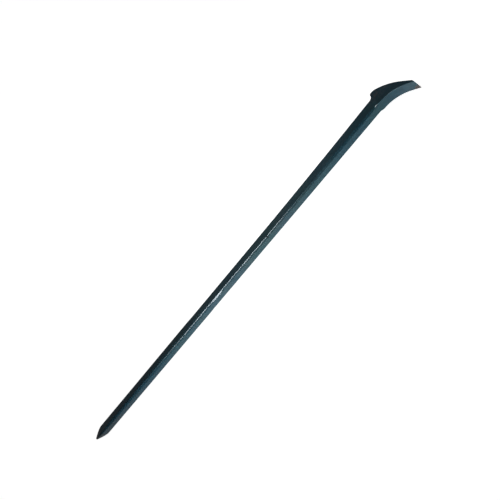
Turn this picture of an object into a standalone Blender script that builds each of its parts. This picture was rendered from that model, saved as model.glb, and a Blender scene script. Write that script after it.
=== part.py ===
"""Heel bar, 1500 mm long: a steel bar with a curved chisel and a heel at one end and a point at the other.

The bar lies on its side along X, with its head at +X. The blade curves towards -Y, the heel stands out
towards +Y, and Z runs across the blade's width. The origin is on the floor, under the middle of its box.

The real bar is one forging. Its zones are separate solids here, parted by a hairline across the bar, so
that each can be named, replaced or given its own finish. They all belong to one rigid body.

Three measures place every point, in metres:
    setback  along the bar, from the chisel's cutting edge towards the point
    reach    across the bar, from its axis towards the hollow side of the blade
    rise     across the bar, from its axis upwards
"""

import math

import bmesh
import bpy
import numpy as np
from mathutils import Vector

LENGTH = 1.500
HAIRLINE = 0.0003

# The plain bar: square stock with round corners.
BAR = 0.0286
CORNER_RADIUS = 0.0059

# The corners of the upper half are hammered flat. Each flat starts at its own setback and runs in slowly.
FLAT_LEG = 0.0048
FLAT_STARTS = {"front_upper": 0.850, "back_upper": 0.925, "back_lower": 0.820, "front_lower": 0.850}
FLAT_RUN_IN = 0.030

# The neck swells towards the head, mostly behind the axis.
SWELL_START = 0.600
NECK_BACK = 0.0195
NECK_FRONT = 0.0129
NECK_RISE = 0.0150
NECK_FLAT_LEG = 0.0044

# The head is square-edged and a little wider than the neck, whose corner flats stop against it.
HEAD_ROOT = 0.1123
HEAD_RISE = 0.0158
FLAT_STOP = 0.1040
FLAT_STOP_LENGTH = 0.0100
HEAD_EDGE_RADIUS = 0.0012

# The hollow front of the blade: an arc, then straight to the cutting edge, where the blade is widest.
BLADE_ANGLE = math.radians(40)
FRONT_RADIUS = 0.1168
FRONT_STRAIGHT = 0.0198
BLADE_RISE = 0.0189

# The back of the blade, from the cutting edge: a ground bevel, a straight and a long arc.
BEVEL_HEIGHT = 0.0081
BEVEL_SETBACK = 0.0012
BACK_ANGLE = math.radians(54.4)
BACK_STRAIGHT = 0.0180
BACK_RADIUS = 0.1885

# The heel: a crown that leans towards the blade, a round corner, a face square to the bar and a fillet.
CROWN_ANGLE = math.radians(32.6)
CROWN_TILT = math.radians(5.4)
CROWN_RADIUS = 0.0268
HEEL_CORNER_RADIUS = 0.0054
HEEL_FILLET_RADIUS = 0.0047

# The point: slightly swollen sides and a worn nose with a small flat end.
POINT_LENGTH = 0.0555
POINT_BULGE = 0.0020
NOSE_RADIUS = 0.0026
NOSE_LENGTH = 0.0030
NOSE_FLAT = 0.35

# Where one zone of the bar ends and the next begins. The heel ends where its crown meets the blade's back.
POINT_CUT = LENGTH - POINT_LENGTH
SHANK_CUT = 0.960
NECK_CUT = 0.400

# Mesh density.
CORNER_STEPS = 6
CORNER_NAMES = ("front_upper", "back_upper", "back_lower", "front_lower")
SHARP_ANGLE = math.radians(28)

# Dark petrol-blue enamel.
PAINT = (0.018, 0.055, 0.076, 1.0)
PAINT_ROUGHNESS = 0.42


def ease(value):
    """A smooth step from 0 to 1."""
    value = min(max(value, 0.0), 1.0)
    return value * value * (3 - 2 * value)


def mix(start, end, share):
    return start + (end - start) * share


class Outline:
    """A chain of straights and tangent arcs in the plane of setback and reach."""

    def __init__(self, start, heading):
        self.points = [np.array(start, float)]
        self.heading = heading
        self.marks = {}

    def straight(self, length, steps=1):
        step = length / steps * np.array((math.cos(self.heading), math.sin(self.heading)))
        for _ in range(steps):
            self.points.append(self.points[-1] + step)

    def turn(self, radius, angle, steps):
        """An arc that turns the heading by the signed angle, as a chain of chords."""
        side = math.copysign(radius, angle)
        centre = self.points[-1] + side * np.array((-math.sin(self.heading), math.cos(self.heading)))
        for step in range(1, steps + 1):
            turned = self.heading + angle * step / steps
            self.points.append(centre + side * np.array((math.sin(turned), -math.cos(turned))))
        self.heading += angle

    def mark(self, name):
        self.marks[name] = len(self.points) - 1

    def length(self):
        return np.linalg.norm(np.diff(self.points, axis=0), axis=1).sum()

    def shares(self):
        """How far along the outline each of its points lies, from 0 to 1."""
        steps = np.linalg.norm(np.diff(self.points, axis=0), axis=1)
        return np.concatenate([[0.0], np.cumsum(steps)]) / steps.sum()

    def at(self, share):
        """The point at this share of the outline's length."""
        points = np.array(self.points)
        return np.array([np.interp(share, self.shares(), points[:, axis]) for axis in (0, 1)])


def edge_reach():
    """How far the cutting edge lies from the bar's axis."""
    return NECK_FRONT + FRONT_STRAIGHT * math.tan(BLADE_ANGLE) + FRONT_RADIUS * (1 - math.cos(BLADE_ANGLE))


def front_outline():
    """The hollow side of the head, from the cutting edge to the head's root."""
    outline = Outline((0.0, edge_reach()), -BLADE_ANGLE)
    outline.straight(FRONT_STRAIGHT / math.cos(BLADE_ANGLE))
    outline.turn(FRONT_RADIUS, BLADE_ANGLE, 20)
    outline.straight(HEAD_ROOT - outline.points[-1][0])
    return outline


def back_outline():
    """The back of the head, from the upper line of the ground bevel over the heel to the head's root."""
    outline = Outline((BEVEL_SETBACK, edge_reach() - BEVEL_HEIGHT), -BACK_ANGLE)
    outline.straight(BACK_STRAIGHT / math.cos(BACK_ANGLE), steps=2)
    outline.turn(BACK_RADIUS, BACK_ANGLE - CROWN_ANGLE, 12)
    outline.mark("crown_end")
    outline.turn(CROWN_RADIUS, CROWN_ANGLE, 5)
    outline.mark("heel_top")
    outline.turn(CROWN_RADIUS, CROWN_TILT, 2)
    outline.turn(HEEL_CORNER_RADIUS, math.pi / 2 - CROWN_TILT, 5)
    outline.straight(-NECK_BACK - HEEL_FILLET_RADIUS - outline.points[-1][1])
    outline.turn(HEEL_FILLET_RADIUS, -math.pi / 2, 6)
    outline.straight(HEAD_ROOT - outline.points[-1][0], steps=8)
    return outline


def cross_section(back, front, half_rise, corners):
    """The ring of points where a cut from the bar's back to its front meets the surface.

    back and front are the ends of the cut, as setback and reach. corners gives each corner's leg and its
    flatness, which is 0 for a round corner and 1 for a flat one.
    """
    back, front = np.array(back), np.array(front)
    to_back = (back - front) / np.linalg.norm(back - front)
    angles = np.linspace(0, math.pi / 2, CORNER_STEPS + 1)
    shares = np.linspace(0, 1, CORNER_STEPS + 1)
    ring = []
    for name in CORNER_NAMES:
        in_front, is_upper = name.startswith("front"), name.endswith("upper")
        leg, flatness = corners[name]
        inwards = mix(leg * (1 - np.cos(angles)), leg * shares, flatness)
        downwards = mix(leg * (1 - np.sin(angles)), leg * (1 - shares), flatness)
        if in_front != is_upper:
            inwards, downwards = inwards[::-1], downwards[::-1]
        for across, down in zip(inwards, downwards):
            setback, reach = front + to_back * across if in_front else back - to_back * across
            ring.append((setback, reach, (half_rise - down) * (1 if is_upper else -1)))
    return ring


def bar_section(setback):
    """A section of the bar, square to its axis."""
    half = BAR / 2
    swell = min(max((SWELL_START - setback) / (SWELL_START - HEAD_ROOT), 0.0), 1.0) ** 2
    flat_leg = mix(FLAT_LEG, NECK_FLAT_LEG, swell)
    corners = {}
    for name, start in FLAT_STARTS.items():
        flatness = ease((start - setback) / FLAT_RUN_IN)
        corners[name] = (mix(CORNER_RADIUS, flat_leg, flatness), flatness)
    back = (setback, -mix(half, NECK_BACK, swell))
    front = (setback, mix(half, NECK_FRONT, swell))
    return cross_section(back, front, mix(half, NECK_RISE, swell), corners)


def head_section(share, front, back, flare_start):
    """A section of the head, from a share of its back outline to the same share of its front outline."""
    back_point, front_point = back.at(share), front.at(share)
    setback = (back_point[0] + front_point[0]) / 2
    stopped = ease((FLAT_STOP - setback) / FLAT_STOP_LENGTH)
    flare = min(max(1 - setback / flare_start, 0.0), 1.0)
    half_rise = mix(mix(NECK_RISE, HEAD_RISE, stopped), BLADE_RISE, flare)
    corner = (mix(NECK_FLAT_LEG, HEAD_EDGE_RADIUS, stopped), 1 - stopped)
    return cross_section(back_point, front_point, half_rise, {name: corner for name in CORNER_NAMES})


def point_section(from_tip):
    """A section of the point: the square with round corners turns into a circle at the nose."""
    share = from_tip / POINT_LENGTH
    full = BAR / 2
    half = mix(NOSE_RADIUS, full, share) + POINT_BULGE * 4 * share * (1 - share)
    before_nose_end = max(1 - from_tip / NOSE_LENGTH, 0.0)
    half *= mix(NOSE_FLAT, 1.0, math.sqrt(1 - before_nose_end**2))
    corner = (half * mix(1.0, CORNER_RADIUS / full, ease(share)), 0.0)
    setback = LENGTH - from_tip
    return cross_section((setback, -half), (setback, half), half, {name: corner for name in CORNER_NAMES})


def placed(ring, axis_y):
    """The ring in the part's own frame."""
    return [Vector((LENGTH / 2 - setback, axis_y - reach, BLADE_RISE + rise)) for setback, reach, rise in ring]


def paint(name):
    material = bpy.data.materials.new(f"paint_{name}")
    material.use_nodes = True
    shader = material.node_tree.nodes["Principled BSDF"]
    shader.inputs["Base Color"].default_value = PAINT
    shader.inputs["Roughness"].default_value = PAINT_ROUGHNESS
    shader.inputs["Metallic"].default_value = 0.0
    return material


def loft(name, rings):
    """A closed solid through the rings, with a flat cap at each end."""
    back = back_outline()
    axis_y = (edge_reach() + back.points[back.marks["heel_top"]][1]) / 2
    mesh = bmesh.new()
    loops = []
    for ring in rings:
        corners = [mesh.verts.new(corner) for corner in placed(ring, axis_y)]
        loops.append([mesh.edges.new(pair) for pair in zip(corners, corners[1:] + corners[:1])])
    for loop, following in zip(loops, loops[1:]):
        bmesh.ops.bridge_loops(mesh, edges=loop + following)
    for loop in (loops[0], loops[-1]):
        bmesh.ops.edgeloop_fill(mesh, edges=loop)
    bmesh.ops.recalc_face_normals(mesh, faces=mesh.faces)
    data = bpy.data.meshes.new(name)
    mesh.to_mesh(data)
    mesh.free()
    data.shade_smooth()
    data.set_sharp_from_angle(angle=SHARP_ANGLE)
    data.materials.append(paint(name))
    solid = bpy.data.objects.new(name, data)
    bpy.context.scene.collection.objects.link(solid)
    flats = solid.modifiers.new("keep_flats_flat", "WEIGHTED_NORMAL")
    flats.keep_sharp = True


def make_chisel_blade_and_heel_block():
    """The two halves of the head. They part where the back of the blade meets the heel's crown."""
    front, back = front_outline(), back_outline()
    shares = back.shares()
    crown_end = back.marks["crown_end"]
    cut = shares[crown_end]
    half_gap = HAIRLINE / 2 / front.length()
    flare_start = (front.at(cut)[0] + back.at(cut)[0]) / 2
    blade = (*shares[:crown_end], cut - half_gap)
    heel = (cut + half_gap, *shares[crown_end + 1 : -1], 1 - half_gap)
    for name, zone in (("chisel_blade", blade), ("heel_block", heel)):
        loft(name, [head_section(share, front, back, flare_start) for share in zone])


def make_bar_zone(name, setbacks):
    """A zone of the bar between the first and the last setback, each end kept half a hairline inside."""
    setbacks = np.array(setbacks)
    setbacks[0] += HAIRLINE / 2
    setbacks[-1] -= HAIRLINE / 2
    loft(name, [bar_section(setback) for setback in setbacks])


def make_neck():
    make_bar_zone("neck", np.linspace(HEAD_ROOT, NECK_CUT, 10))


def make_upper_shank():
    """The bar that the hand holds: an even section with four corner flats, which run out one by one."""
    first_run_out = min(FLAT_STARTS.values()) - FLAT_RUN_IN
    swollen = np.linspace(NECK_CUT, SWELL_START, 5)
    run_out = np.linspace(first_run_out, SHANK_CUT, 28)
    make_bar_zone("upper_shank", (*swollen, *run_out))


def make_lower_shank():
    """The plain bar with its round corners, between the last of the corner flats and the point."""
    make_bar_zone("lower_shank", np.linspace(SHANK_CUT, POINT_CUT, 10))


def make_point():
    sides = np.linspace(POINT_LENGTH - HAIRLINE / 2, NOSE_LENGTH, 12)
    nose = [NOSE_LENGTH * (1 - math.cos(math.radians(angle))) for angle in (70, 50, 30, 0)]
    loft("point", [point_section(from_tip) for from_tip in (*sides, *nose)])


def main():
    for old in list(bpy.data.objects):
        bpy.data.objects.remove(old)
    make_chisel_blade_and_heel_block()
    make_neck()
    make_upper_shank()
    make_lower_shank()
    make_point()


main()
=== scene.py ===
# %% [markdown]
# A heel bar is a heavy crowbar, one and a half metres of square steel bar. One end is forged to a point.
# The other is forged to a heel, which is the fulcrum, and a curved chisel, which goes under the load.
# The whole forging is coated in dark petrol-blue enamel.
#
# The solids of the bar are loaded first. They say where every surface is, and they aren't changed here.

# %% Load the solids
import math

import bpy
import numpy as np
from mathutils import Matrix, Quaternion, Vector


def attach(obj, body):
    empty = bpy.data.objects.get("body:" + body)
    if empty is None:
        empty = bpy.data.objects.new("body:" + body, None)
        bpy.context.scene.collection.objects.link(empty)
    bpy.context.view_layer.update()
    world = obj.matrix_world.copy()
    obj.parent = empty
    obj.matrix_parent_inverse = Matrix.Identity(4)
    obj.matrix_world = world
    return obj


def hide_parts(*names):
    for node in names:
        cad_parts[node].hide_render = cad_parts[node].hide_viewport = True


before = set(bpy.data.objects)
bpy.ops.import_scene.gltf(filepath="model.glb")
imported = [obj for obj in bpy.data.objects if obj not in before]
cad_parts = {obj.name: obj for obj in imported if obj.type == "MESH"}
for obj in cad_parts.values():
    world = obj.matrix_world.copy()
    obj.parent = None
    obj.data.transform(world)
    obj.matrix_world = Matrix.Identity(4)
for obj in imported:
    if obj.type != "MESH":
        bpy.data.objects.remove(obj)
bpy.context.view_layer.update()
print("solids:", sorted(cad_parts))

# %% [markdown]
# Three measures place every point of a bar like this, and a smith would use them too. The setback runs
# along the bar from the cutting edge, the reach runs from the bar's axis towards the hollow side of the
# blade, and the rise goes up. All sizes are in metres and radians. They are those of the solids, apart from
# the corner flats: these have longer legs here, because their edges are soft, and a gentler stop at the head.

# %% The sizes of the bar
LENGTH = 1.500
BAR = 0.0286
CORNER_RADIUS = 0.0059
FLAT_LEG = 0.0054
SWELL_START = 0.600
NECK_BACK = 0.0195
NECK_FRONT = 0.0129
NECK_RISE = 0.0150
NECK_FLAT_LEG = 0.0050
HEAD_ROOT = 0.1123
HEAD_RISE = 0.0158
FLAT_STOP = 0.1040
FLAT_STOP_LENGTH = 0.0122
HEAD_EDGE_RADIUS = 0.0012
BLADE_ANGLE = math.radians(40)
FRONT_RADIUS = 0.1168
FRONT_STRAIGHT = 0.0198
BLADE_RISE = 0.0189
BEVEL_HEIGHT = 0.0081
BEVEL_SETBACK = 0.0012
BACK_ANGLE = math.radians(54.4)
BACK_STRAIGHT = 0.0180
BACK_RADIUS = 0.1885
CROWN_ANGLE = math.radians(32.6)
CROWN_TILT = math.radians(5.4)
CROWN_RADIUS = 0.0268
CROWN_SETBACK = 0.080
HEEL_CORNER_RADIUS = 0.0054
HEEL_FILLET_RADIUS = 0.0047
POINT_LENGTH = 0.0555
POINT_BULGE = 0.0020
NOSE_RADIUS = 0.0026
NOSE_LENGTH = 0.0030
NOSE_FLAT = 0.35
POINT_CUT = LENGTH - POINT_LENGTH
SHANK_CUT = 0.960
NECK_CUT = 0.400

EDGE_REACH = (
    NECK_FRONT
    + FRONT_STRAIGHT * math.tan(BLADE_ANGLE)
    + FRONT_RADIUS * (1 - math.cos(BLADE_ANGLE))
)
print("reach of the cutting edge in mm:", round(1000 * EDGE_REACH, 2))


def smooth(value):
    """The smooth step 3v^2 - 2v^3, with v held between 0 and 1."""
    value = np.clip(value, 0.0, 1.0)
    return value * value * (3 - 2 * value)


def mix(start, end, share):
    """start + (end - start) * share, for numbers and arrays."""
    return start + (end - start) * share


# %% [markdown]
# The head's two outlines are straights and tangent arcs. Such a line is easy to draw from its heading: each
# short step goes the way the heading points, and the heading turns at an even rate along an arc. All the
# steps are worked out at once, and a running sum of them gives the points.

# %% The outlines of the head
STEPS_IN_A_RUN = 400
RUNS_BEFORE_CROWN = 2


def walk(start, heading, runs):
    """Points of a line that leaves start with that heading. Each run is the (length, turn) of a straight or
    of an arc.

    heading(i) = heading + sum of the turns so far, point(i) = start + sum of step * (cos, sin) of the heading
    at the middle of each step.
    """
    lengths, turns = (np.repeat(column, STEPS_IN_A_RUN) / STEPS_IN_A_RUN for column in np.array(runs).T)
    headings = heading + np.cumsum(turns) - turns / 2
    steps = lengths[:, None] * np.stack((np.cos(headings), np.sin(headings)), axis=1)
    return np.concatenate(([start], start + np.cumsum(steps, axis=0)))


def shares_of(line):
    """How far along the line each of its points lies: the sum of the steps to it over the sum of them all."""
    lengths = np.linalg.norm(np.diff(line, axis=0), axis=1)
    return np.concatenate(([0.0], np.cumsum(lengths))) / lengths.sum()


def at_share(line, share):
    """The line's points at these shares of its length, by linear interpolation of setback and of reach."""
    return np.stack([np.interp(share, shares_of(line), line[:, axis]) for axis in (0, 1)], axis=-1)


front_turn = FRONT_STRAIGHT + FRONT_RADIUS * math.sin(BLADE_ANGLE)
front_line = walk(
    np.array((0.0, EDGE_REACH)),
    -BLADE_ANGLE,
    [
        (FRONT_STRAIGHT / math.cos(BLADE_ANGLE), 0.0),
        (FRONT_RADIUS * BLADE_ANGLE, BLADE_ANGLE),
        (HEAD_ROOT - front_turn, 0.0),
    ],
)

bevel_top = np.array((BEVEL_SETBACK, EDGE_REACH - BEVEL_HEIGHT))
heel_turn = math.pi / 2 - CROWN_TILT
over_heel = [
    (BACK_STRAIGHT / math.cos(BACK_ANGLE), 0.0),
    (BACK_RADIUS * (BACK_ANGLE - CROWN_ANGLE), BACK_ANGLE - CROWN_ANGLE),
    (CROWN_RADIUS * (CROWN_ANGLE + CROWN_TILT), CROWN_ANGLE + CROWN_TILT),
    (HEEL_CORNER_RADIUS * heel_turn, heel_turn),
]
heel_line = walk(bevel_top, -BACK_ANGLE, over_heel)
heel_face_setback, heel_face_reach = heel_line[-1]
down_to_neck = [
    (-NECK_BACK - HEEL_FILLET_RADIUS - heel_face_reach, 0.0),
    (HEEL_FILLET_RADIUS * math.pi / 2, -math.pi / 2),
    (HEAD_ROOT - heel_face_setback - HEEL_FILLET_RADIUS, 0.0),
]
back_line = walk(bevel_top, -BACK_ANGLE, over_heel + down_to_neck)
blade_end = shares_of(back_line)[RUNS_BEFORE_CROWN * STEPS_IN_A_RUN]
HEEL_TOP = back_line[:, 1].min()
AXIS_Y = (EDGE_REACH + HEEL_TOP) / 2
print("heel top in mm:", round(1000 * HEEL_TOP, 2))
print("heel face at setback in mm:", round(1000 * heel_face_setback, 1))
print("share of the head that is blade:", round(blade_end, 3))

# %% [markdown]
# Every cut across the bar is a rectangle with four treated corners. A rolled corner turns through its right
# angle evenly. A hammered one makes two quick turns with a flat between them, and the flat may lean towards
# the top or towards the side. Both are one rule for the heading along the corner, so one can run into the
# other, as they do on the real bar, where each flat begins at its own place.

# %% A corner, and a ring of four corners
CORNER_STEPS = 24
FACE_STEPS = 8
EVEN_LEAN = math.pi / 4
SOFT_TURN = 0.22


def corner_curve(flatness, lean, first_turn, last_turn):
    """A corner from (0, 0) to its two legs, across and then down, for arrays of the four arguments.

    The heading goes from 0 to 90 degrees. On a rolled corner it is 90 * u. On a flat one it rises to the lean
    over the share of u that the first turn takes, and from there to 90 over the share of the last turn, both
    by a smooth step. The point is the running sum of (cos, sin), over the mean of the two legs' lengths.
    """
    u = (np.arange(CORNER_STEPS) + 0.5) / CORNER_STEPS
    flatness, lean, first_turn, last_turn = (
        np.asarray(value)[..., None] for value in (flatness, lean, first_turn, last_turn)
    )
    stepped = lean * smooth(u / first_turn) + (math.pi / 2 - lean) * smooth((u - 1) / last_turn + 1)
    heading = mix(u * math.pi / 2, stepped, flatness)
    steps = np.stack((np.cos(heading), np.sin(heading)), axis=-1)
    run = np.concatenate((np.zeros_like(steps[..., :1, :]), np.cumsum(steps, axis=-2)), axis=-2)
    return 2 * run / run[..., -1:, :].sum(axis=-1, keepdims=True)


def section_rings(
    back, front, half_rise, legs, flatness, lean=EVEN_LEAN, first_turn=SOFT_TURN, last_turn=SOFT_TURN
):
    """Rings of (setback, reach, rise) round the bar, one for each row of the arrays.

    back and front hold the ends of each cut, and half_rise holds its half height. The others hold a value for
    each corner, in the order front upper, front lower, back lower, back upper. A corner's point is its sharp
    corner moved in by the curve. Between corners, the faces are divided evenly: start + (end - start) * j / n.
    """
    lean, first_turn, last_turn = (
        np.broadcast_to(value, legs.shape) for value in (lean, first_turn, last_turn)
    )
    across = front - back
    width = np.linalg.norm(across, axis=-1, keepdims=True)
    across = across / width
    corners = []
    for index, (side, top) in enumerate(((1, 1), (1, -1), (-1, -1), (-1, 1))):
        shape = corner_curve(flatness[:, index], lean[:, index], first_turn[:, index], last_turn[:, index])
        curve = shape * legs[:, index, None, None]
        total = curve[:, -1:, :]
        inwards, down = total[..., 0] - curve[..., 0], curve[..., 1]
        if side * top < 0:
            inwards, down = inwards[:, ::-1], down[:, ::-1]
        base = front if side > 0 else back
        plan = base[:, None, :] - side * across[:, None, :] * inwards[..., None]
        rise = top * (half_rise[:, None] - down)
        corners.append(np.concatenate((plan, rise[..., None]), axis=-1))
    ring = []
    share = (np.arange(1, FACE_STEPS) / FACE_STEPS)[None, :, None]
    for corner, following in zip(corners, corners[1:] + corners[:1]):
        ring += [corner, mix(corner[:, -1:], following[:, :1], share)]
    return np.concatenate(ring, axis=1)


print("points round the bar:", 4 * (CORNER_STEPS + FACE_STEPS))

# %% [markdown]
# The rules along the bar come next. The plain bar is rolled, with round corners, and the one that faces the
# photographer is rounder than the others. The upper half was hammered on the corners, and the flat that faces
# the photographer was struck twice: first it lies near 45 degrees, and from there to the head it leans more
# towards the side. Both have a round upper edge and a crisp lower one. In the neck they even out.

# %% The cuts across the bar
FLAT_STARTS = np.array((0.870, 0.850, 0.820, 0.925))
FLAT_RUN_IN = np.array((0.075, 0.030, 0.030, 0.030))
ROLLED_RADII = np.array((0.0095, CORNER_RADIUS, CORNER_RADIUS, CORNER_RADIUS))
POINT_RUN_IN = 0.080
FIRST_LEAN = math.radians(43.5)
FIRST_UPPER_TURN = 0.60
FIRST_LOWER_TURN = 0.14
SECOND_LEAN = math.radians(50)
SECOND_LEAN_FADE = 0.5
SECOND_UPPER_TURN = 0.62
SECOND_LOWER_TURN = 0.10
SECOND_FLAT_START = 0.772
SECOND_FLAT_RUN_IN = 0.016
STRUCK_RUN_OUT = 0.050
STRUCK_LEG = 0.0066


def bar_rings(setback):
    """Rings square to the bar's axis. Half width = BAR / 2, plus the square of the way into the neck times
    the neck's swelling. The front upper corner has its own radius, leans and turns.
    """
    half = BAR / 2
    swell = np.clip((SWELL_START - setback) / (SWELL_START - HEAD_ROOT), 0, 1) ** 2
    back = np.stack((setback, -mix(half, NECK_BACK, swell)), axis=-1)
    front = np.stack((setback, mix(half, NECK_FRONT, swell)), axis=-1)
    flatness = smooth((FLAT_STARTS - setback[:, None]) / FLAT_RUN_IN)
    struck = smooth((setback - HEAD_ROOT) / STRUCK_RUN_OUT)
    second = smooth((SECOND_FLAT_START - setback) / SECOND_FLAT_RUN_IN) * struck
    flat_leg = np.stack([mix(FLAT_LEG, NECK_FLAT_LEG, swell)] * 4, axis=-1)
    flat_leg[:, 0] = mix(flat_leg[:, 0], STRUCK_LEG, struck)
    to_point = smooth((setback - POINT_CUT + POINT_RUN_IN) / POINT_RUN_IN)[:, None]
    legs = mix(mix(ROLLED_RADII, CORNER_RADIUS, to_point), flat_leg, flatness)
    lean = np.full(flatness.shape, EVEN_LEAN)
    second_lean = mix(SECOND_LEAN, EVEN_LEAN, smooth(swell / SECOND_LEAN_FADE))
    lean[:, 0] = mix(mix(FIRST_LEAN, EVEN_LEAN, swell), second_lean, second)
    first_turn = np.full(flatness.shape, SOFT_TURN)
    first_turn[:, 0] = mix(mix(FIRST_UPPER_TURN, SOFT_TURN, swell), SECOND_UPPER_TURN, second)
    last_turn = np.full(flatness.shape, SOFT_TURN)
    last_turn[:, 0] = mix(mix(FIRST_LOWER_TURN, SOFT_TURN, swell), SECOND_LOWER_TURN, second)
    half_rise = mix(half, NECK_RISE, swell)
    return section_rings(back, front, half_rise, legs, flatness, lean, first_turn, last_turn)


one_ring = bar_rings(np.array((1.0,)))
print("width a metre from the edge in mm:", round(1000 * np.ptp(one_ring[..., 1]), 2))

# %% [markdown]
# The cuts across the head join its two outlines, so they turn with the blade. Here the corner flats stop
# against a block with square edges, and from the heel on the blade flares up to its full width. The cuts
# across the point are square again and shrink to a small blunt nose.

# %% The cuts across the head and the point
NOSE_CORNER = 0.92


def head_rings(share):
    """Rings that join the same share of the back and of the front outline. The flats end by a smooth step in
    leg and flatness, and the blade flares evenly from the heel's crown to the edge.
    """
    back, front = at_share(back_line, share), at_share(front_line, share)
    setback = (back[:, 0] + front[:, 0]) / 2
    flare_start = (at_share(back_line, blade_end)[0] + at_share(front_line, blade_end)[0]) / 2
    flare = np.clip(1 - setback / flare_start, 0, 1)
    stopped = smooth((FLAT_STOP - setback) / FLAT_STOP_LENGTH)[:, None] * np.ones(4)
    legs = mix(NECK_FLAT_LEG, HEAD_EDGE_RADIUS, stopped)
    half_rise = mix(mix(NECK_RISE, HEAD_RISE, stopped[:, 0]), BLADE_RISE, flare)
    return section_rings(back, front, half_rise, legs, 1 - stopped)


def point_rings(from_tip):
    """Rings of the point. Half width = a line from the nose to the bar, plus a parabola for the swelling, and
    the root of 1 - x^2 round the nose.
    """
    share = from_tip / POINT_LENGTH
    full = BAR / 2
    half = mix(NOSE_RADIUS, full, share) + POINT_BULGE * 4 * share * (1 - share)
    before_nose_end = np.clip(1 - from_tip / NOSE_LENGTH, 0, 1)
    half = half * mix(NOSE_FLAT, 1.0, np.sqrt(1 - before_nose_end**2))
    legs = (half * mix(NOSE_CORNER, CORNER_RADIUS / full, smooth(share)))[:, None] * np.ones(4)
    setback = LENGTH - from_tip
    back, front = np.stack((setback, -half), axis=-1), np.stack((setback, half), axis=-1)
    return section_rings(back, front, half, legs, np.zeros(legs.shape))


one_ring = point_rings(np.array((NOSE_LENGTH,)))
print("width where the nose begins in mm:", round(1000 * np.ptp(one_ring[..., 1]), 2))

# %% [markdown]
# Steel that came off a rolling mill and a power hammer is never quite flat, and gloss paint shows it: a
# highlight swells, narrows and breaks up along the bar. The relief is less than a tenth of a millimetre deep,
# and it always goes inwards, so the bar keeps its size. Sums of sine waves in seeded directions make it,
# because they are smooth, the same in each run, and continuous from one zone to the next.

# %% Waves and hammer marks
ROLLING_RELIEF = 0.00005
ROLLING_PITCH = 0.055
FORGING_RELIEF = 0.00001
FORGING_PITCH = 0.009
HAMMER_RELIEF = 0.00003
HAMMER_PITCH = 0.024
HAMMER_DRIFTS = ((0.35, 61.0, 1), (0.22, 137.0, 2))
WAVE_SPREAD = (0.7, 1.5)
WAVE_LIMIT = 1.6


def waves(points, pitch, seed, count=10):
    """Smooth uneven relief from -1 to 1: the sum of count sines with wavelengths near pitch, in random
    directions, over the root of count, then held within the limit and divided by it.
    """
    chance = np.random.default_rng(seed)
    directions = chance.normal(size=(count, 3))
    directions /= np.linalg.norm(directions, axis=1, keepdims=True)
    numbers = 2 * math.pi / (pitch * chance.uniform(*WAVE_SPREAD, count))
    phases = chance.uniform(0, 2 * math.pi, count)
    total = np.zeros(points.shape[:-1])
    for direction, number, phase in zip(directions, numbers, phases):
        total += np.sin(points @ direction * number + phase)
    return np.clip(total / math.sqrt(count), -WAVE_LIMIT, WAVE_LIMIT) / WAVE_LIMIT


def blows(setback, pitch, phase):
    """A row of shallow hammer marks along the bar: 1 - x^2 in each, with x from -1 to 1. Two slow sines are
    added to setback / pitch, so the marks aren't all of one length.
    """
    stretch = setback / pitch
    for swing, number, turns in HAMMER_DRIFTS:
        stretch = stretch + swing * np.sin(setback * number + turns * phase)
    x = 2 * (stretch - np.floor(stretch)) - 1
    return 1 - x * x


print("waves are about", 1000 * ROLLING_PITCH, "and", 1000 * FORGING_PITCH, "mm long")

# %% [markdown]
# The relief is pushed in along the normals of the grid, which are cross products of its own steps. The
# hammer marks lie on the corners only. On the corner that faces the photographer there are four nicks as
# well, small dents with soft edges.

# %% Pushing the steel in
HAMMER_PHASE = 1.7
EDGE_FADE = 0.006
NICKS = (
    {"place": (0.5465, 0.0115, 0.0106), "half_length": 0.0013, "half_width": 0.0052, "depth": 0.0011},
    {"place": (0.5950, 0.0138, 0.0082), "half_length": 0.0016, "half_width": 0.0013, "depth": 0.0004},
    {"place": (0.8300, 0.0138, 0.0082), "half_length": 0.0022, "half_width": 0.0012, "depth": 0.0005},
    {"place": (0.9010, 0.0075, 0.0141), "half_length": 0.0020, "half_width": 0.0017, "depth": 0.0006},
)


def outward(rings):
    """Unit normals of the rings: the cross product of the step along the bar and the step round it."""
    along = np.gradient(rings, axis=0)
    around = (np.roll(rings, -1, axis=1) - np.roll(rings, 1, axis=1)) / 2
    normal = np.cross(around, along)
    normal /= np.linalg.norm(normal, axis=-1, keepdims=True)
    from_centre = rings - rings.mean(axis=1, keepdims=True)
    return normal * np.sign((from_centre * normal).sum())


def corner_shares():
    """For each point of a ring, 1 in the middle of a corner, falling to 0 at its ends and along the faces."""
    bump = np.sin(np.linspace(0, math.pi, CORNER_STEPS + 1))
    return np.tile(np.concatenate((bump, np.zeros(FACE_STEPS - 1))), 4)


def nick(rings, place, half_length, half_width, depth):
    """A dent at a place of the front upper corner: depth * exp(-(a^2 + b^2)), with a the way along the bar
    over the dent's half length, and b the distance across the bar over its half width.
    """
    offset = rings - np.array(place)
    along = offset[..., 0] / half_length
    across = np.linalg.norm(offset[..., 1:], axis=-1) / half_width
    return depth * np.exp(-(along**2) - across**2)


def steel(rings):
    """The rings pushed inwards by long rolling waves, short forging waves, hammer marks on the corners and
    the nicks. The ground bevel stays flat, so the waves and marks fade out towards the cutting edge.
    """
    depth = ROLLING_RELIEF * (1 + waves(rings, ROLLING_PITCH, seed=3)) / 2
    depth += FORGING_RELIEF * (1 + waves(rings, FORGING_PITCH, seed=8)) / 2
    corner_number = np.repeat(np.arange(4), CORNER_STEPS + FACE_STEPS)
    marks = blows(rings[..., 0], HAMMER_PITCH, HAMMER_PHASE * corner_number)
    depth += HAMMER_RELIEF * corner_shares() * marks
    depth = depth * smooth(rings.mean(axis=1)[:, :1] / EDGE_FADE)
    depth = depth + sum(nick(rings, **place) for place in NICKS)
    return rings - outward(rings) * depth[..., None]


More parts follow.
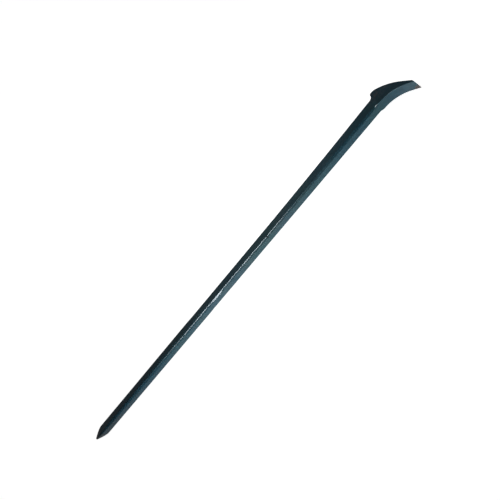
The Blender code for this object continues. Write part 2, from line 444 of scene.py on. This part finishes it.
print("nicks at setbacks in mm:", [round(1000 * dent["place"][0], 1) for dent in NICKS])

# %% [markdown]
# The whole bar is worked out as one grid and then cut into its zones, so that neighbours agree to the last
# digit. The grid starts in the middle of the ground bevel. Its first rings lie flat on the bevel, the next
# ones go round its worn edge in a quarter circle, and the rest follow the head, the bar and the point.

# %% The grid of the whole bar
EDGE_ROUND = 0.0003
BAR_STEP = 0.0010
BLADE_STEP = 0.0009
HEEL_STEP = 0.0006
QUARTER_TURN = np.radians((12, 30, 50, 70, 90))
CAP_SHARES = (0.08, 0.25, 0.42, 0.58, 0.72, 0.84, 0.93)


def even(start, end, step):
    """Evenly spaced values from start to end, no further apart than step."""
    return np.linspace(start, end, math.ceil(abs(end - start) / step) + 1)


def inset(ring, distance):
    """The ring moved inwards in its own plane: each point goes along the cross product of the plane's normal
    and the ring's direction there.
    """
    along = np.roll(ring, -1, axis=0) - np.roll(ring, 1, axis=0)
    plane = np.cross(ring - ring.mean(axis=0), along).sum(axis=0)
    inwards = np.cross(plane, along)
    return ring + inwards / np.linalg.norm(inwards, axis=1, keepdims=True) * distance


def cap_rings(ring):
    """Copies of the ring drawn towards its middle: middle + (ring - middle) * share, from small to large."""
    middle = ring.mean(axis=0)
    return middle + (ring - middle) * np.array(CAP_SHARES)[:, None, None]


back_length = np.linalg.norm(np.diff(back_line, axis=0), axis=1).sum()
round_share = EDGE_ROUND / back_length
turning = QUARTER_TURN[::-1]
edge_shares = round_share * (1 - np.sin(turning))
edge_depths = EDGE_ROUND * (1 - np.cos(turning))
edge_rings = np.stack([inset(ring, depth) for ring, depth in zip(head_rings(edge_shares), edge_depths)])
blade_rings = head_rings(even(round_share, blade_end, BLADE_STEP / back_length))
taper_rings = point_rings(even(POINT_LENGTH, NOSE_LENGTH, BLADE_STEP))
nose_rings = point_rings(NOSE_LENGTH * (1 - np.sin(QUARTER_TURN)))

zones = {
    "chisel_blade": np.concatenate((cap_rings(edge_rings[0]), edge_rings, blade_rings)),
    "heel_block": head_rings(even(blade_end, 1.0, HEEL_STEP / back_length)),
    "neck": bar_rings(even(HEAD_ROOT, NECK_CUT, BAR_STEP)),
    "upper_shank": bar_rings(even(NECK_CUT, SHANK_CUT, BAR_STEP)),
    "lower_shank": bar_rings(even(SHANK_CUT, POINT_CUT, BAR_STEP)),
    "point": np.concatenate((taper_rings, nose_rings, cap_rings(nose_rings[-1])[::-1])),
}
smooth_bar = np.concatenate([zones["chisel_blade"]] + [rings[1:] for rings in list(zones.values())[1:]])
bar_grid = steel(smooth_bar)
bar_normals = outward(bar_grid)
print("rings along the bar:", len(bar_grid))
print("deepest relief in mm:", round(1000 * abs(bar_grid - smooth_bar).max(), 2))

# %% [markdown]
# Paint thins and rubs off first where the steel bends sharply outwards, so the grid also works out how sharp
# it is at each point. It goes into the mesh as an attribute, which the enamel reads further down.

# %% How sharp the steel is
WORN_RADIUS = 0.002


def outward_bend(rings, normals, axis):
    """One over the radius of the outward bend along one axis of the grid: minus the change of the unit step,
    measured along the normal, over the mean of the two steps. Hollows count as 0.
    """
    step = np.roll(rings, -1, axis=axis) - rings
    length = np.linalg.norm(step, axis=-1, keepdims=True)
    before, before_length = np.roll(step, 1, axis=axis), np.roll(length, 1, axis=axis)
    change = step / length - before / before_length
    return np.maximum(-(change * normals).sum(axis=-1) * 2 / (length + before_length)[..., 0], 0)


along_bend = outward_bend(bar_grid, bar_normals, axis=0)
along_bend[[0, -1]] = 0
sharpness = np.maximum(along_bend, outward_bend(bar_grid, bar_normals, axis=1)) * WORN_RADIUS
sharpness = np.clip(sharpness, 0, 1)
print("share of the surface that is a sharp edge:", round(float((sharpness > 0.5).mean()), 3))

# %% [markdown]
# A grid of rings becomes a mesh with one call: the points go in as an array, and each face is four numbers
# that name its corners. The first and the last ring are closed with a fan round a middle point. The shading
# normals of the faces between them come from the whole grid, not from this mesh alone.

# %% From rings to a mesh
ZERO_POINT = (LENGTH / 2, AXIS_Y, BLADE_RISE)


def to_frame(vectors, origin):
    """Setback, reach and rise into the frame's axes: origin + (-setback, -reach, rise)."""
    return np.array(origin) + vectors * np.array((-1.0, -1.0, 1.0))


def closed_mesh(name, rings, normals, sharp):
    """A closed mesh. Vertex (i, j) is number i * n + j, its face joins (i, j), (i+1, j), (i+1, j+1) and
    (i, j+1), and each end has a triangle from every edge of its ring to a point at the ring's mean.
    """
    rows, count = rings.shape[:2]
    points = to_frame(rings, ZERO_POINT)
    vertices = np.concatenate((points.reshape(-1, 3), points[[0, -1]].mean(axis=1)))
    number = np.arange(rows * count).reshape(rows, count)
    following = np.roll(number, -1, axis=1)
    quads = np.stack((number[:-1], number[1:], following[1:], following[:-1]), axis=-1).reshape(-1, 4)
    first = np.stack((number[0], following[0], np.full(count, rows * count)), axis=-1)
    last = np.stack((following[-1], number[-1], np.full(count, rows * count + 1)), axis=-1)
    mesh = bpy.data.meshes.new(name)
    mesh.from_pydata(vertices.tolist(), [], quads.tolist() + first.tolist() + last.tolist())
    mesh.update()
    mesh.shade_smooth()
    worn = mesh.attributes.new("sharpness", "FLOAT", "POINT")
    worn.data.foreach_set("value", np.concatenate((sharp.ravel(), (0.0, 0.0))).astype(np.float32))
    directions = to_frame(normals, (0.0, 0.0, 0.0)).reshape(-1, 3)[quads.ravel()]
    caps = [np.array(mesh.polygons[len(quads) + end * count].normal) for end in (0, 1)]
    cap_normals = np.repeat(caps, 3 * count, axis=0)
    mesh.normals_split_custom_set(np.concatenate((directions, cap_normals)).tolist())
    piece = bpy.data.objects.new(name, mesh)
    bpy.context.scene.collection.objects.link(piece)
    return piece


print("middle of the cutting edge:", to_frame(np.array((0.0, EDGE_REACH, 0.0)), ZERO_POINT).round(4))

# %% [markdown]
# Each zone of the bar is its own object, so that it can have its own finish, and it stands for the solid of
# the same zone. Neighbours share the ring where they meet and the normals on it, so the light runs on over
# the cuts and no seam shows.

# %% The six zones
PIECES = {
    "chisel_blade": ("forged_blade", "blade_enamel"),
    "heel_block": ("forged_heel", "heel_enamel"),
    "neck": ("swelling_neck", "neck_enamel"),
    "upper_shank": ("hammered_shank", "upper_shank_enamel"),
    "lower_shank": ("rolled_shank", "lower_shank_enamel"),
    "point": ("drawn_point", "point_enamel"),
}
pieces = {}
first_row = 0
for node, (name, slot) in PIECES.items():
    rows = slice(first_row, first_row + len(zones[node]))
    first_row = rows.stop - 1
    piece = closed_mesh(name, bar_grid[rows], bar_normals[rows], sharpness[rows])
    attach(piece, "root")
    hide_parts(node)
    pieces[node] = piece
    piece.data.calc_loop_triangles()
    print(name, "stands for", node, "with", len(piece.data.loop_triangles), "triangles")

# %% [markdown]
# A finish is a formula too, worked out by nodes at every spot of the surface. Node trees built by hand are
# hard to read, so one small class wraps a socket and lets Python write the formula: a + b, 1 - a and so on
# add Math nodes, and any other node comes from one method.

# %% Shader formulas as Python expressions
class Signal:
    """A socket of a node tree. Arithmetic on it adds Math nodes and gives the signal that comes out of them.
    """

    def __init__(self, tree, socket=None):
        self.tree = tree
        self.socket = socket

    def node(self, kind, settings=None, sockets=None, output=0):
        """A new node: its settings are set first, then the value or link of each named socket."""
        made = self.tree.nodes.new(kind)
        for name, setting in (settings or {}).items():
            setattr(made, name, setting)
        places = {place.name: place for place in reversed(made.inputs)}
        places.update({place.identifier: place for place in made.inputs})
        for name, value in (sockets or {}).items():
            if isinstance(value, Signal):
                self.tree.links.new(value.socket, places[name])
            else:
                places[name].default_value = value
        results = dict(enumerate(made.outputs))
        results.update({place.identifier: place for place in made.outputs})
        return Signal(self.tree, results.get(output))

    def math(self, operation, first, second=0.0):
        """One Math node. Each value is a signal or a plain number."""
        return self.node("ShaderNodeMath", {"operation": operation}, {"Value": first, "Value_001": second})

    def vector_math(self, operation, other, output=0):
        """One Vector Math node, on this vector and another."""
        vectors = {"Vector": self, "Vector_001": other}
        return self.node("ShaderNodeVectorMath", {"operation": operation}, vectors, output)

    def __add__(self, other):
        return self.math("ADD", self, other)

    def __sub__(self, other):
        return self.math("SUBTRACT", self, other)

    def __rsub__(self, other):
        return self.math("SUBTRACT", other, self)

    def __mul__(self, other):
        return self.math("MULTIPLY", self, other)

    __radd__ = __add__
    __rmul__ = __mul__

    def ramp(self, low, high):
        """A smooth step of this signal, from 0 at low to 1 at high. With low above high it falls instead."""
        settings = {"interpolation_type": "SMOOTHSTEP"}
        return self.node("ShaderNodeMapRange", settings, {"Value": self, "From Min": low, "From Max": high})

    def blend(self, first, second):
        """The first colour where this signal is 0, the second where it is 1."""
        colours = {"Factor_Float": self, "A_Color": first, "B_Color": second}
        return self.node("ShaderNodeMix", {"data_type": "RGBA"}, colours, output="Result_Color")

    def noise(self, size, detail=2.0, roughness=0.5, shift=0.0):
        """Uneven values near 0.5 on this vector, with lumps of about that size in metres. Each shift gives a
        pattern of its own.
        """
        place = self.vector_math("ADD", (shift,) * 3)
        values = {"Vector": place, "Scale": 1 / size, "Detail": detail, "Roughness": roughness}
        return self.node("ShaderNodeTexNoise", {}, values)

    def spots(self, low, high, **lumps):
        """A mask of spots on this vector: its noise through a ramp."""
        return self.noise(**lumps).ramp(low, high)

    def distance(self, point):
        """How far this vector is from a point."""
        return self.vector_math("DISTANCE", point, output="Value")

    def part(self, axis):
        """The X, Y or Z of this vector."""
        return self.node("ShaderNodeSeparateXYZ", {}, {"Vector": self}, output=axis)


print("a signal can:", [name for name in vars(Signal) if not name.startswith("__")])

# %% [markdown]
# The enamel is one thick coat, left half glossy. A few things keep its colour from looking like plastic. Its
# hue drifts between blue and green over a hand's width. A grey sheen is painted on the middle of the bar, and
# the colour is purer towards the point, as painted light for the weaker reflection there. It is scratched
# along the bar, and scuffed brown at the head. All of this is noise on Object coordinates, where X goes from
# -0.75 at the point to 0.75 at the cutting edge. The pieces all sit at the origin, so the pattern runs on from
# one zone to the next.

# %% The colour of the enamel
BLUE_ENAMEL = (0.0165, 0.0580, 0.0825, 1.0)
GREEN_ENAMEL = (0.0190, 0.0640, 0.0770, 1.0)
DEEP_ENAMEL = (0.0125, 0.0410, 0.0600, 1.0)
DUSTY_ENAMEL = (0.0400, 0.0780, 0.0930, 1.0)
# The next two colours are painted light: the purer blue stands for a weaker reflection towards the point, and
# the grey is a painted sheen on the middle of the bar.
LESS_REFLECTION_ENAMEL = (0.0060, 0.0450, 0.0730, 1.0)
SHEEN_GREY = (0.130, 0.125, 0.112, 1.0)
SCUFF_BROWN = (0.140, 0.112, 0.104, 1.0)

HUE_LUMPS = {"size": 0.110, "detail": 1.0, "low": 0.36, "high": 0.64}
# Soft clouds that break up the painted grey sheen.
SHEEN_CLOUDS = {"size": 0.030, "shift": 31.0, "low": 0.30, "high": 0.70}
SCUFFS = {"size": 0.007, "detail": 4.0, "roughness": 0.6, "shift": 37.0, "low": 0.36, "high": 0.68}
PATCHES = {"size": 0.024, "detail": 3.0, "shift": 3.0, "low": 0.40, "high": 0.72}
SCRATCHES = {"size": 0.0007, "shift": 41.0, "low": 0.62, "high": 0.72}
DUST = {"size": 0.0022, "detail": 3.0, "roughness": 0.65, "shift": 7.0, "low": 0.55, "high": 0.80}

# Where the painted light lies along the bar: the purer blue towards the point, and the grey sheen round the
# middle.
LESS_REFLECTION_ALONG = (-0.15, -0.45)
SHEEN_MIDDLE = 0.10
SHEEN_FROM_MIDDLE = (0.45, 0.12)
HEAD_ALONG = (0.625, 0.665)
BACK_ACROSS = (0.004, 0.030)
FRONT_SCUFFING = 0.12
DRAWN_OUT = (0.05, 1.0, 1.0)
# The first two strengths set how much painted light goes on along the bar.
LESS_REFLECTION_STRENGTH = 0.9
SHEEN_STRENGTH = 0.08
SCUFF_STRENGTH = 0.42
PATCH_STRENGTH = 0.45
SCRATCH_STRENGTH = 0.22
DUST_STRENGTH = 0.30


def enamel_colour(place):
    """Blue to green by the hand's width, purer towards the point as painted light for a weaker reflection
    there, grey in the middle of the bar as a painted sheen, brown with scuffs on the heel, darker in patches,
    scratched, and a little dusty in small specks.
    """
    colour = place.spots(**HUE_LUMPS).blend(BLUE_ENAMEL, GREEN_ENAMEL)
    along = place.part("X")
    # Painted light: the colour turns purer towards the point, for the weaker reflection there.
    colour = (along.ramp(*LESS_REFLECTION_ALONG) * LESS_REFLECTION_STRENGTH).blend(colour, LESS_REFLECTION_ENAMEL)
    # Painted sheen: grey over the middle of the bar, in soft clouds.
    clouds = place.spots(**SHEEN_CLOUDS) * SHEEN_STRENGTH
    sheen_share = place.math("ABSOLUTE", along - SHEEN_MIDDLE).ramp(*SHEEN_FROM_MIDDLE)
    colour = (sheen_share * (SHEEN_STRENGTH + clouds)).blend(colour, SHEEN_GREY)
    scuffs = place.spots(**SCUFFS) * SCUFF_STRENGTH
    on_back = FRONT_SCUFFING + place.part("Y").ramp(*BACK_ACROSS) * (1 - FRONT_SCUFFING)
    colour = (along.ramp(*HEAD_ALONG) * on_back * scuffs).blend(colour, SCUFF_BROWN)
    colour = (place.spots(**PATCHES) * PATCH_STRENGTH).blend(colour, DEEP_ENAMEL)
    lengthwise = place.vector_math("MULTIPLY", DRAWN_OUT)
    colour = (lengthwise.spots(**SCRATCHES) * SCRATCH_STRENGTH).blend(colour, DUSTY_ENAMEL)
    return (place.spots(**DUST) * DUST_STRENGTH).blend(colour, DUSTY_ENAMEL)


print("enamel in linear light:", BLUE_ENAMEL[:3], "to", GREEN_ENAMEL[:3])

# %% [markdown]
# The coat's surface is no mirror either. It has the fine dimples that painters call orange peel, and the
# forged skin shows through it as shallow pits. Both are heights that a Bump node turns into tilted normals,
# because they are too fine for the mesh. The gloss is uneven, and duller on the half that goes into the
# ground. Where the steel bends sharply the paint is thin and lighter. A zone may add two things: dark marks,
# which are a stain on the point and painted shade in a nick, and places where the paint is gone, with dull or
# rusty steel a little lower than the coat.

# %% The coat
WORN_STEEL = (0.052, 0.051, 0.050, 1.0)
RUSTY_STEEL = (0.044, 0.036, 0.033, 1.0)
# Black for the stain on the point, and for the painted shade in the deepest nick.
STAIN_AND_SHADE_BLACK = (0.0070, 0.0110, 0.0130, 1.0)
ENAMEL_ROUGHNESS = 0.18
ROUGHNESS_TRIM = 0.06
CLOUD_ROUGHNESS = 0.10
GRAIN_ROUGHNESS = 0.05
GROUND_ROUGHNESS = 0.04
# The dark marks are duller: the stain on the point and the painted shade in the nick.
STAIN_AND_SHADE_ROUGHNESS = 0.12
STEEL_ROUGHNESS = 0.46
STEEL_METALLIC = 0.4
SPECULAR_LEVEL = 0.12

GLOSS_CLOUDS = {"size": 0.018, "shift": 11.0}
GLOSS_GRAIN = {"size": 0.0016, "shift": 13.0}
BREAKS = {"size": 0.0035, "detail": 4.0, "roughness": 0.6, "shift": 17.0}
ORANGE_PEEL = {"size": 0.0013, "detail": 1.0, "shift": 19.0}
PITS = {"size": 0.0060, "detail": 3.0, "roughness": 0.55, "shift": 23.0}
RUST = {"size": 0.0018, "detail": 3.0, "shift": 29.0, "low": 0.42, "high": 0.62}

GROUND_ALONG = (-0.07, -0.24)
THIN_SHARPNESS = (0.25, 0.90)
THIN_BREAKS = (0.38, 0.62)
THIN_STRENGTH = 0.35
PEEL_HEIGHT = 0.000005
PIT_HEIGHT = 0.000030
COAT_THICKNESS = 0.000040


def new_tree(name):
    """An empty material, and a signal to start its nodes from."""
    material = bpy.data.materials.new(name)
    material.use_nodes = True
    material.node_tree.nodes.clear()
    return material, Signal(material.node_tree)


def enamel_roughness(place):
    """The coat's gloss, duller in cloudy patches, in fine grains and on the half that goes into the ground.
    """
    clouds = place.noise(**GLOSS_CLOUDS)
    grain = place.noise(**GLOSS_GRAIN)
    in_ground = place.part("X").ramp(*GROUND_ALONG) * GROUND_ROUGHNESS
    uneven = ENAMEL_ROUGHNESS + clouds * CLOUD_ROUGHNESS + grain * GRAIN_ROUGHNESS
    return uneven + in_ground - ROUGHNESS_TRIM


def enamel(name, worn=None, dark=None, specular=SPECULAR_LEVEL):
    """The enamel of one zone. worn and dark are functions that give where steel shows, and where stains and
    painted shade lie.
    """
    material, start = new_tree(name)
    place = start.node("ShaderNodeTexCoord", output="Object")
    sharpness = start.node("ShaderNodeAttribute", {"attribute_name": "sharpness"}, output="Fac")
    breaks = place.noise(**BREAKS)
    colour = enamel_colour(place)
    roughness = enamel_roughness(place)
    metallic = 0.0
    thin = sharpness.ramp(*THIN_SHARPNESS) * breaks.ramp(*THIN_BREAKS)
    colour = (thin * THIN_STRENGTH).blend(colour, DUSTY_ENAMEL)
    height = place.noise(**ORANGE_PEEL) * PEEL_HEIGHT
    height = height + place.noise(**PITS) * PIT_HEIGHT
    if dark:
        # Dark marks: the stain on the point, and painted shade in the nick of the upper shank.
        stain_and_shade = dark(place, breaks)
        colour = stain_and_shade.blend(colour, STAIN_AND_SHADE_BLACK)
        roughness = roughness + stain_and_shade * STAIN_AND_SHADE_ROUGHNESS
    if worn:
        bare = worn(place, sharpness, breaks)
        rust = place.spots(**RUST)
        colour = bare.blend(colour, rust.blend(WORN_STEEL, RUSTY_STEEL))
        roughness = roughness * (1 - bare) + bare * STEEL_ROUGHNESS
        metallic = bare * (1 - rust) * STEEL_METALLIC
        height = height - bare * COAT_THICKNESS
    bump = start.node("ShaderNodeBump", {}, {"Height": height, "Distance": 1.0})
    shader = start.node(
        "ShaderNodeBsdfPrincipled",
        {},
        {
            "Base Color": colour,
            "Roughness": roughness,
            "Metallic": metallic,
            "Specular IOR Level": specular,
            "Normal": bump,
        },
    )
    start.node("ShaderNodeOutputMaterial", {}, {"Surface": shader})
    return material


mean_roughness = ENAMEL_ROUGHNESS + (CLOUD_ROUGHNESS + GRAIN_ROUGHNESS) / 2 - ROUGHNESS_TRIM
print("roughness of clean enamel above ground, about:", round(mean_roughness, 3))

# %% [markdown]
# Each zone wears in its own way. The blade is pushed under loads, so its cutting edge is scraped thin, and
# one corner of it has lost its paint. The heel rocks on what it stands on. The point is driven into gaps in
# stone, and its last centimetre is stained dark. Everywhere else the coat is whole. Each place is a distance
# from a spot, frayed by noise, through a ramp.

# %% Where the head is worn
EDGE_CORNER = (LENGTH / 2, AXIS_Y - EDGE_REACH, 0.0)
HEEL_CROWN = (LENGTH / 2 - CROWN_SETBACK, AXIS_Y - HEEL_TOP, BLADE_RISE)
CORNER_BARE = (0.0225, 0.0165)
CORNER_FRAY = 0.006
EDGE_BARE = (0.0010, 0.0004)
EDGE_FRAY = 0.004
EDGE_SHARPNESS = (0.5, 0.9)
EDGE_STRENGTH = 0.85
CROWN_RUBBED = (0.020, 0.006)
CROWN_SPOTS = (0.60, 0.66)
CROWN_STRENGTH = 0.8


def worn_blade(place, sharpness, breaks):
    """Bare steel within about 16 mm of the edge's lower corner, and in a broken line along the edge itself.
    """
    corner = (place.distance(EDGE_CORNER) + breaks * CORNER_FRAY).ramp(*CORNER_BARE)
    setback = LENGTH / 2 - place.part("X")
    frayed = setback + (breaks - 0.5) * EDGE_FRAY
    edge = frayed.ramp(*EDGE_BARE) * sharpness.ramp(*EDGE_SHARPNESS)
    return place.math("MAXIMUM", corner, edge * EDGE_STRENGTH)


def worn_heel(place, sharpness, breaks):
    """The crown of the heel, rubbed through in small spots."""
    crown = place.distance(HEEL_CROWN).ramp(*CROWN_RUBBED)
    return crown * breaks.ramp(*CROWN_SPOTS) * CROWN_STRENGTH


print("the bare corner is at", [round(value, 4) for value in EDGE_CORNER])

# %% [markdown]
# The point's marks are made in the same way. The deepest nick gets painted shade, a dark spot in its dent. Its
# spot is narrow along the bar, so X is stretched before the distance is taken.

# %% Where the point is worn and stained, and where the nick's painted shade lies
POINT_TIP = (-LENGTH / 2, AXIS_Y, BLADE_RISE)
POINT_SCRAPED = (0.035, 0.004)
POINT_EXTRA = 0.08
POINT_SPOTS = (0.70, 0.74)
POINT_STRENGTH = 0.6
STAIN_FRAY = 0.012
TIP_STAIN = (0.024, 0.013)
TIP_STAIN_STRENGTH = 0.55
LONG_STAIN = (0.075, 0.030)
LONG_STAIN_STRENGTH = 0.40
NARROWED = np.array((3.0, 1.0, 1.0))
DEEPEST_NICK = to_frame(np.array(NICKS[0]["place"]), ZERO_POINT)
# The spot of painted shade in the deepest nick.
NICK_SHADE = (0.0072, 0.0052)
NICK_FRAY = 0.001
NICK_STRENGTH = 0.90


def worn_point(place, sharpness, breaks):
    """Small scraped spots, more of them on the last 30 mm, towards the tip."""
    near = place.distance(POINT_TIP).ramp(*POINT_SCRAPED)
    return (breaks + near * POINT_EXTRA).ramp(*POINT_SPOTS) * POINT_STRENGTH


def dark_tip(place, breaks):
    """The stain on the last centimetre of the point, and a fainter one on the five before it."""
    away = place.distance(POINT_TIP) + breaks * STAIN_FRAY
    return away.ramp(*TIP_STAIN) * TIP_STAIN_STRENGTH + away.ramp(*LONG_STAIN) * LONG_STAIN_STRENGTH


def shaded_nick(place, breaks):
    """Painted shade in the deepest nick, in a spot that is three times narrower along the bar than across it.
    """
    narrowed = place.vector_math("MULTIPLY", NARROWED)
    away = narrowed.distance(DEEPEST_NICK * NARROWED) + breaks * NICK_FRAY
    return away.ramp(*NICK_SHADE) * NICK_STRENGTH


print("the deepest nick is at", DEEPEST_NICK.round(4))

# %% [markdown]
# Now each zone gets its own material. The point has a lower specular level than the rest, because the white
# sheet that it mirrors would hide its stain.

# %% The finish of each zone
POINT_SPECULAR_LEVEL = 0.06

FINISHES = {
    "chisel_blade": enamel("blade enamel", worn=worn_blade),
    "heel_block": enamel("heel enamel", worn=worn_heel),
    "neck": enamel("neck enamel"),
    # The upper shank gets painted shade in its deepest nick.
    "upper_shank": enamel("upper shank enamel", dark=shaded_nick),
    "lower_shank": enamel("lower shank enamel"),
    "point": enamel("point enamel", worn=worn_point, dark=dark_tip, specular=POINT_SPECULAR_LEVEL),
}
for node, finish in FINISHES.items():
    pieces[node].data.materials.append(finish)
    print(finish.name, "has", len(finish.node_tree.nodes), "nodes")

# %% [markdown]
# The bar was photographed on pure white. The floor is a plain pale sheet, which catches the bar's soft
# shadow. Where the camera or a reflection looks at it, it adds its own light, up to white. That light is only
# seen and lights nothing, so the floor's colour and the lamps stay plain.

# %% The floor
FLOOR_SIDE = 30.0
FLOOR_ALBEDO = 0.80
FLOOR_GLOW = 0.97
WHITE = (1.0, 1.0, 1.0, 1.0)


def seen_directly(start):
    """1 where the camera, a mirror image or a view through glass looks, and 0 for light that is passed on."""
    rays = start.node("ShaderNodeLightPath", output="Is Camera Ray")
    path = rays.socket.node
    others = [Signal(start.tree, path.outputs[name]) for name in ("Is Glossy Ray", "Is Transmission Ray")]
    return rays.math("MINIMUM", rays + others[0] + others[1], 1.0)


floor_material, start = new_tree("pale floor")
shader = start.node(
    "ShaderNodeBsdfPrincipled",
    {},
    {
        "Base Color": (FLOOR_ALBEDO, FLOOR_ALBEDO, FLOOR_ALBEDO, 1.0),
        "Roughness": 1.0,
        "Specular IOR Level": 0.0,
        "Emission Color": WHITE,
        "Emission Strength": seen_directly(start) * FLOOR_GLOW,
    },
)
start.node("ShaderNodeOutputMaterial", {}, {"Surface": shader})

half = FLOOR_SIDE / 2
floor_corners = [(-half, -half, 0), (half, -half, 0), (half, half, 0), (-half, half, 0)]
floor_mesh = bpy.data.meshes.new("pale_floor")
floor_mesh.from_pydata(floor_corners, [], [(0, 1, 2, 3)])
floor_mesh.materials.append(floor_material)
floor = bpy.data.objects.new("pale_floor", floor_mesh)
bpy.context.scene.collection.objects.link(floor)
print("floor side in m:", FLOOR_SIDE)

# %% [markdown]
# A glossy dark bar shows what is around it. Above the white sheet the room is dark on the photographer's
# side and half bright on the far side, so the bar's side mirrors the sheet, its corner mirrors the dark, and
# its top face gets a faint grey sheen. The camera itself sees plain white.

# %% The room
HORIZON = (0.00, 0.18)
FAR_SIDE = (-0.25, 0.35)
FAR_SIDE_SEEN = 0.45
NEAR_SIDE_SEEN = 0.05
ROOM_LIGHT = 0.045

world = bpy.data.worlds.new("studio")
world.use_nodes = True
world.node_tree.nodes.clear()
bpy.context.scene.world = world
start = Signal(world.node_tree)
direction = start.node("ShaderNodeTexCoord", output="Generated")
room = NEAR_SIDE_SEEN + direction.part("Y").ramp(*FAR_SIDE) * (FAR_SIDE_SEEN - NEAR_SIDE_SEEN)
camera_ray = start.node("ShaderNodeLightPath", output="Is Camera Ray")
seen = 1 - direction.part("Z").ramp(*HORIZON) * (1 - room) * (1 - camera_ray)
direct = seen_directly(start)
strength = direct * seen + (1 - direct) * ROOM_LIGHT
background = start.node("ShaderNodeBackground", {}, {"Color": WHITE, "Strength": strength})
start.node("ShaderNodeOutputWorld", {}, {"Surface": background})
print("room light:", ROOM_LIGHT)

# %% [markdown]
# The bar's side is lighter than the corner above it, as on a table that shines from below. A panel on the
# floor in front of the bar stands for such a table, and a wide low one further off fills the side, brightest
# in the middle. A narrow beam adds a little at the head, and a panel behind lights the top face. These are
# left out of reflections, because the bar shows no image of them. A long softbox high in front is there for
# its image alone: it draws the streak of light along the hammered corner.

# %% The lights
SHEET_TURN = math.radians(2.8)
BEAM_SPREAD = math.radians(48)
STREAK_COLOUR = (0.87, 0.94, 1.0)


def panel(name, location, target, size, strength, seen_in_gloss=False):
    """A flat rectangular light at a place, facing a target. Its power is strength * pi * area, so strength is
    the brightness of its face.
    """
    light = bpy.data.lights.new(name, "AREA")
    light.shape = "RECTANGLE"
    light.size, light.size_y = size
    light.energy = strength * math.pi * size[0] * size[1]
    lamp = bpy.data.objects.new(name, light)
    lamp.location = location
    aim = Vector(target) - Vector(location)
    lamp.rotation_euler = aim.to_track_quat("-Z", "Y").to_euler()
    lamp.visible_glossy = seen_in_gloss
    lamp.visible_camera = False
    bpy.context.scene.collection.objects.link(lamp)
    return lamp


sheet = panel(
    "lit_sheet",
    location=(0.15, -0.145, 0.0006),
    target=(0.15, -0.1449, 1.0),
    size=(1.5, 0.31),
    strength=0.9,
)
sheet.rotation_euler.z += SHEET_TURN
panel(
    "front_fill",
    location=(-0.02, -0.65, 0.07),
    target=(-0.02, 0.0, BLADE_RISE),
    size=(0.5, 0.1),
    strength=29.0,
)
beam = panel(
    "head_fill",
    location=(-0.10, -1.00, 0.12),
    target=(0.80, 0.0, BLADE_RISE),
    size=(0.3, 0.3),
    strength=1.4,
)
beam.data.spread = BEAM_SPREAD
panel(
    "back_light",
    location=(0.28, 0.45, 0.42),
    target=(0.28, 0.0, BLADE_RISE),
    size=(0.4, 0.3),
    strength=4.7,
)
streak = panel(
    "streak_softbox",
    location=(-0.72, -1.03, 1.27),
    target=(-0.72, 0.0, 0.03),
    size=(0.96, 0.34),
    strength=113.0,
    seen_in_gloss=True,
)
streak.visible_diffuse = False
streak.data.color = STREAK_COLOUR

# %% [markdown]
# The camera stands in front of the blade's end of the bar, a little over a metre up, and looks down to the
# middle of the bar. It is rolled, so the bar runs from its point at the bottom left of the picture to its
# blade, which is nearer, at the top right.

# %% The camera
CAMERA_PLACE = (0.7643, -1.0296, 1.1866)
CAMERA_AIM = (0.1288, 0.0304, 0.0181)
CAMERA_ROLL = math.radians(-72.513)
CAMERA_LENS_MM = 43.15

camera_data = bpy.data.cameras.new("camera")
camera_data.lens = CAMERA_LENS_MM
camera = bpy.data.objects.new("camera", camera_data)
forward = Vector(CAMERA_AIM) - Vector(CAMERA_PLACE)
turn = forward.to_track_quat("-Z", "Y") @ Quaternion((0.0, 0.0, 1.0), CAMERA_ROLL)
camera.location = CAMERA_PLACE
camera.rotation_mode = "QUATERNION"
camera.rotation_quaternion = turn
bpy.context.scene.collection.objects.link(camera)
bpy.context.scene.camera = camera
bpy.context.scene.view_settings.view_transform = "Standard"
print("camera is", round(forward.length, 2), "m from the bar")

# %% [markdown]
